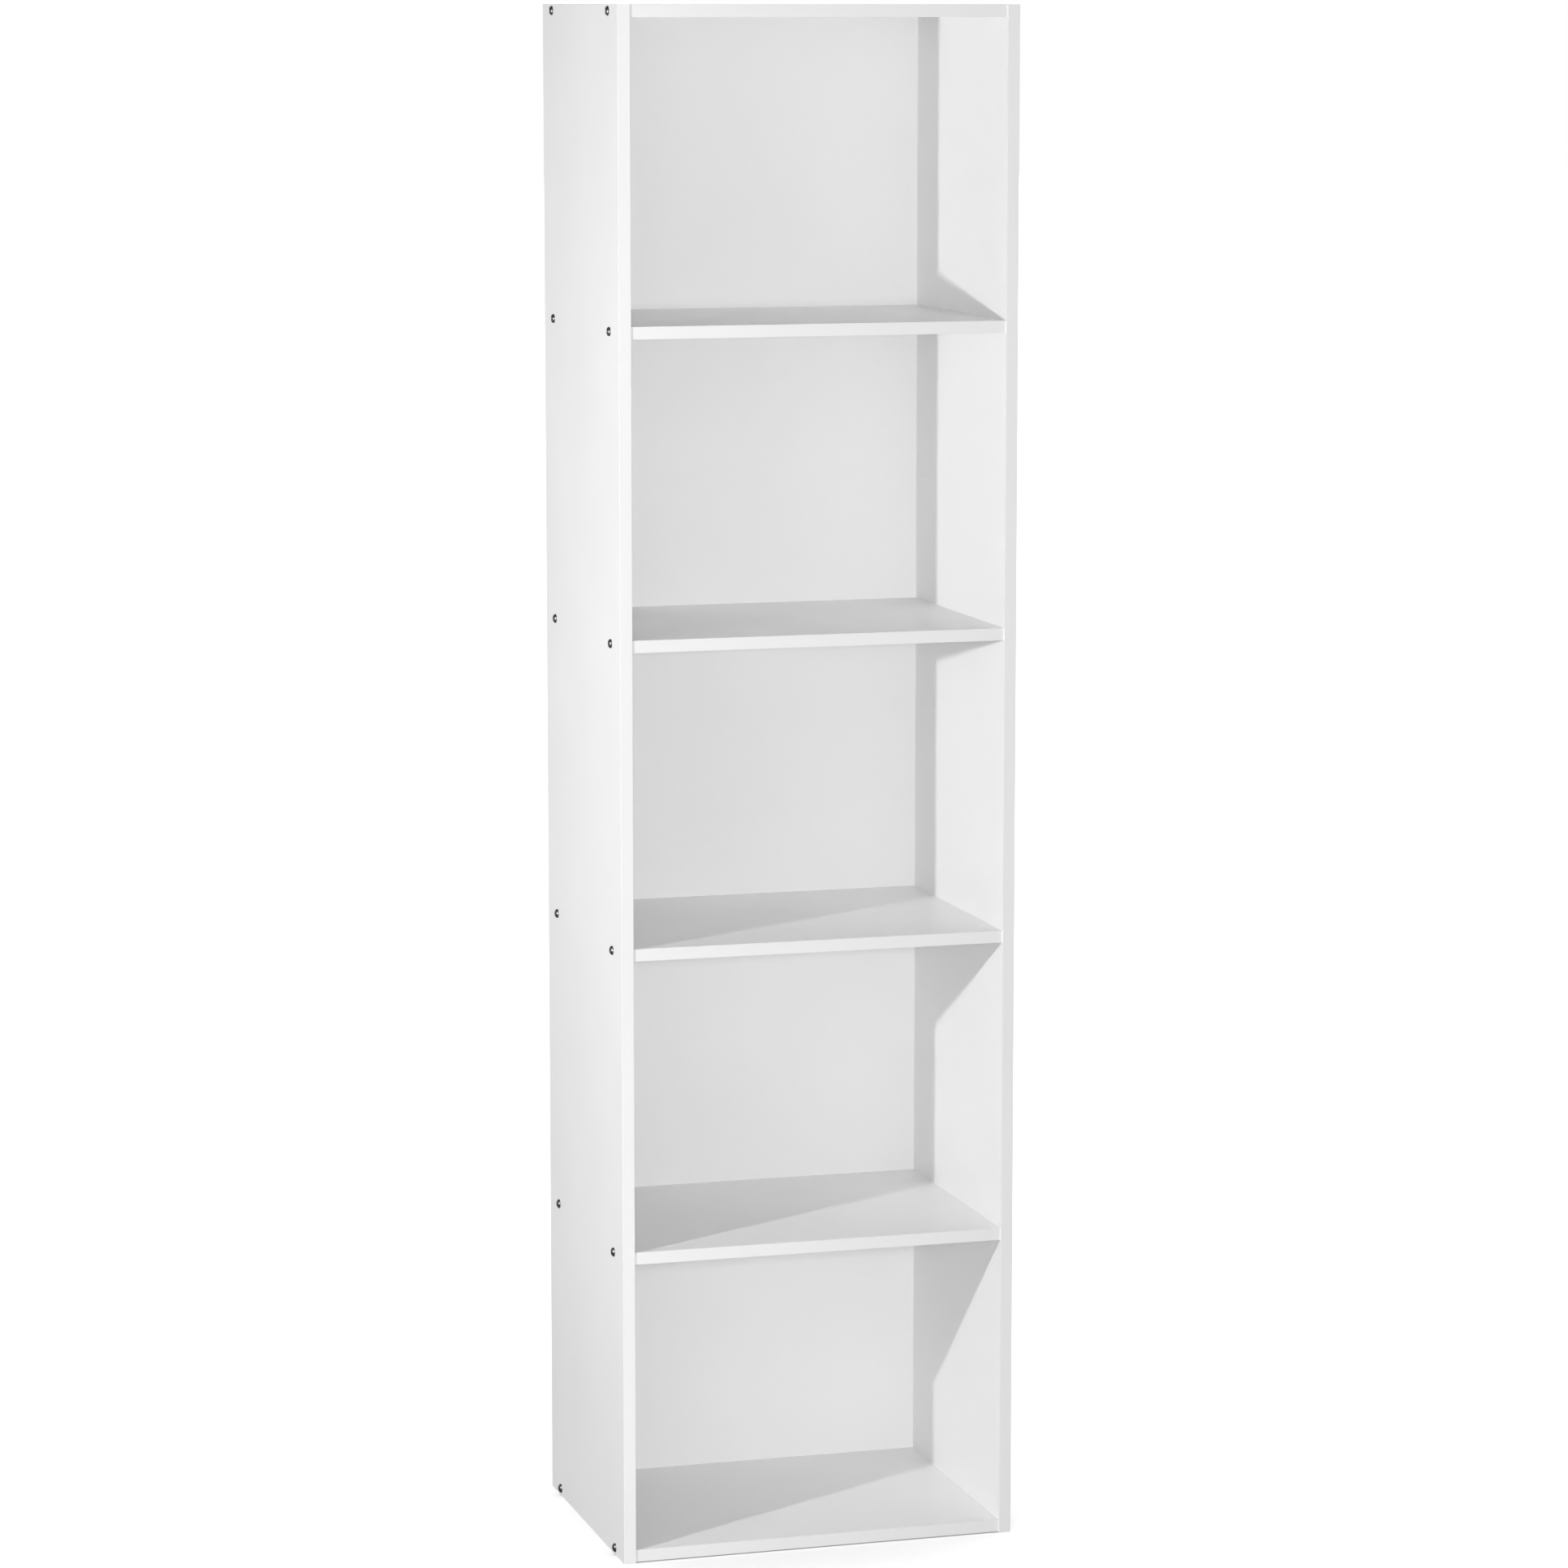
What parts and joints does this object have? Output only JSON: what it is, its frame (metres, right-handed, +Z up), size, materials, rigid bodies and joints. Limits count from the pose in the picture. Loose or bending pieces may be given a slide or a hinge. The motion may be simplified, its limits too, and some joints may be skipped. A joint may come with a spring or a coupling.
{
  "type": "open bookcase",
  "caption": "Tall narrow white open bookcase with evenly spaced fixed shelves between two full-height sides, a grooved-in back and round-head screws.",
  "frame": {"origin": "on the floor under the middle of the case", "axes": "+Z up, +Y towards the back, +X to the right of someone facing the open front"},
  "size_m": [0.4018, 0.29, 1.5],
  "materials": {
    "board": "satin white melamine on particleboard",
    "edging": "satin white edge banding",
    "back": "satin white paint on the front of thin hardboard, raw brown behind",
    "screws": "smooth bronzed steel, glossy"
  },
  "bodies": {
    "root": {"left_side_panel": "board", "right_side_panel": "board", "top_panel": "board", "shelf_1": "board", "shelf_2": "board", "shelf_3": "board", "shelf_4": "board", "bottom_panel": "board", "left_side_front_edging": "edging", "right_side_front_edging": "edging", "left_side_top_edging": "edging", "right_side_top_edging": "edging", "top_panel_edging": "edging", "shelf_1_edging": "edging", "shelf_2_edging": "edging", "shelf_3_edging": "edging", "shelf_4_edging": "edging", "bottom_panel_edging": "edging", "back_panel": "back", "top_panel_screws": "screws", "shelf_1_screws": "screws", "shelf_2_screws": "screws", "shelf_3_screws": "screws", "shelf_4_screws": "screws", "bottom_panel_screws": "screws"}
  },
  "joints": []
}
